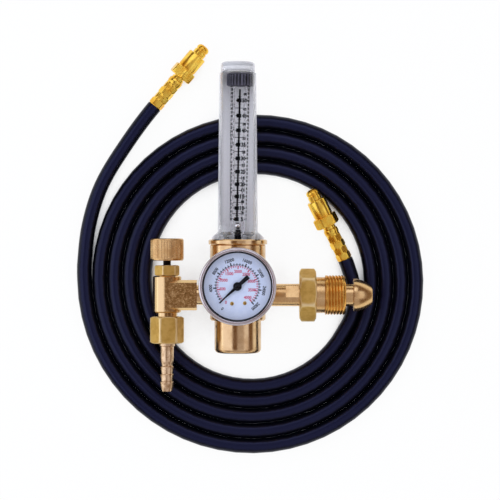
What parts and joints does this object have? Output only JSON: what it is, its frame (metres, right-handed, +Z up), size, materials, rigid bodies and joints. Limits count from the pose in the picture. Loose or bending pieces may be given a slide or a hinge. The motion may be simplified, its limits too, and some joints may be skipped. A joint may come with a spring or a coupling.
{
  "type": "gas flowmeter regulator with hose",
  "caption": "Brass gas cylinder regulator with pressure gauge, clear flow tube, needle valve and hose barb, lying on a flat coil of rubber hose with screw fittings.",
  "frame": {"origin": "centre of the flat face of the relief valve's cap, where the regulator rests on the table, under the crossing of the flow axis and the inlet and outlet axis", "axes": "+X towards the cylinder inlet, +Y along the flow tube to its closed end, +Z up from the table, out of the gauge's face"},
  "size_m": [0.2309, 0.2725, 0.072],
  "materials": {
    "body_brass": "machined, satin",
    "nut_brass": "machined, satin",
    "inner_brass": "machined",
    "sintered_bronze": "porous",
    "hose_brass": "polished",
    "steel": "brushed",
    "ball_steel": "polished",
    "black_steel": "blackened",
    "bezel_plating": "plated",
    "dial_paint": "matte",
    "pointer_paint": "matte",
    "clear_polycarbonate": "clear",
    "clear_acrylic": "clear",
    "black_plastic": "moulded",
    "black_rubber": "matte",
    "hose_rubber": "satin"
  },
  "bodies": {
    "hose": {"hose_coil": "hose_rubber", "hose_inner_run": "hose_rubber", "hose_outer_run": "hose_rubber", "inner_ferrule": "hose_brass", "outer_ferrule": "hose_brass", "inner_tail": "hose_brass", "outer_tail": "hose_brass"},
    "regulator": {"regulator_body": "body_brass", "spring_bonnet": "body_brass", "preset_screw": "steel", "main_spring": "steel", "spring_button": "steel", "diaphragm": "black_rubber", "slip_ring": "inner_brass", "valve_seat": "inner_brass", "poppet_spring": "steel", "inlet_filter": "sintered_bronze", "inlet_nipple": "body_brass", "relief_cap": "nut_brass", "relief_spring": "steel", "gauge_socket": "body_brass", "gauge_case": "body_brass", "gauge_bezel": "bezel_plating", "gauge_lens": "clear_polycarbonate", "lens_gasket": "black_rubber", "gauge_dial": "dial_paint", "dial_screws": "inner_brass", "bourdon_tube": "inner_brass", "movement_plates": "inner_brass", "hairspring": "steel", "flow_cover": "clear_polycarbonate", "metering_tube": "clear_acrylic", "tube_cap": "black_plastic", "float_seat": "black_plastic", "cover_seal": "black_rubber", "cover_ring": "body_brass", "outlet_tee": "body_brass", "packing_nut": "nut_brass", "stem_o_ring": "black_rubber"},
    "inner_hose_nut": {"inner_hose_nut": "hose_brass"},
    "outer_hose_nut": {"outer_hose_nut": "hose_brass"},
    "inlet_nut": {"inlet_nut": "nut_brass"},
    "needle": {"needle_stem": "black_steel"},
    "knob": {"flow_knob": "body_brass", "knob_screw": "steel"},
    "barb": {"hose_barb": "body_brass"},
    "outlet_nut": {"outlet_nut": "nut_brass"},
    "float": {"float_ball": "ball_steel"},
    "pointer": {"gauge_pointer": "pointer_paint", "gauge_pinion": "inner_brass"},
    "sector": {"gauge_sector": "inner_brass", "gauge_link": "inner_brass"},
    "pressure_stem": {"diaphragm_plate": "steel", "valve_poppet": "steel"},
    "relief": {"relief_poppet": "inner_brass"}
  },
  "joints": [
    {"name": "regulator_lift", "type": "slide", "parent": "hose", "child": "regulator", "axis": [0, 0, 1], "range_m": [0, 0.1]},
    {"name": "inner_nut_turn", "type": "hinge", "parent": "hose", "child": "inner_hose_nut", "pos_m": [0.05585, 0.05446, 0.01027], "axis": [-0.4444, 0.8875, 0.1219], "continuous": true},
    {"name": "outer_nut_turn", "type": "hinge", "parent": "hose", "child": "outer_hose_nut", "pos_m": [-0.03276, 0.15189, 0.0084], "axis": [0.6468, 0.7627, 0], "continuous": true},
    {"name": "inlet_nut_turn", "type": "hinge", "parent": "regulator", "child": "inlet_nut", "pos_m": [0.055, 0, 0.023], "axis": [1, 0, 0], "continuous": true},
    {"name": "needle_rise", "type": "slide", "parent": "regulator", "child": "needle", "axis": [0, 1, 0], "range_m": [0, 0.003]},
    {"name": "knob_turn", "type": "hinge", "parent": "needle", "child": "knob", "pos_m": [-0.0466, 0.03, 0.023], "axis": [0, 1, 0], "range_deg": [0, 1080]},
    {"name": "barb_slide", "type": "slide", "parent": "regulator", "child": "barb", "axis": [0, -1, 0], "range_m": [0, 0.00846]},
    {"name": "outlet_nut_turn", "type": "hinge", "parent": "barb", "child": "outlet_nut", "pos_m": [-0.0466, -0.023, 0.023], "axis": [0, -1, 0], "range_deg": [0, 2160]},
    {"name": "ball_rise", "type": "slide", "parent": "regulator", "child": "float", "axis": [0.014, 0.9999, 0], "range_m": [0, 0.084]},
    {"name": "pointer_turn", "type": "hinge", "parent": "regulator", "child": "pointer", "pos_m": [0, 0.0063, 0.06], "axis": [0, 0, -1], "range_deg": [0, 270]},
    {"name": "sector_turn", "type": "hinge", "parent": "regulator", "child": "sector", "pos_m": [0.006, -0.00195, 0.06], "axis": [0, 0, 1], "range_deg": [0, 35.99], "deforming": ["bourdon_tube", "hairspring"]},
    {"name": "poppet_close", "type": "slide", "parent": "regulator", "child": "pressure_stem", "axis": [0, -1, 0], "range_m": [0, 0.0005], "stiffness_N_per_m": 200, "springref_m": -0.002, "deforming": ["main_spring", "diaphragm", "poppet_spring"]},
    {"name": "relief_open", "type": "slide", "parent": "regulator", "child": "relief", "axis": [0, 0, -1], "range_m": [0, 0.001], "stiffness_N_per_m": 100, "springref_m": -0.002, "deforming": ["relief_spring"]}
  ],
  "couplings": [
    {"joint": "knob_turn", "follows": "needle_rise", "rad_per_m": 6283.1},
    {"joint": "outlet_nut_turn", "follows": "barb_slide", "rad_per_m": 4452.6},
    {"joint": "pointer_turn", "follows": "sector_turn", "ratio": 7.5}
  ]
}
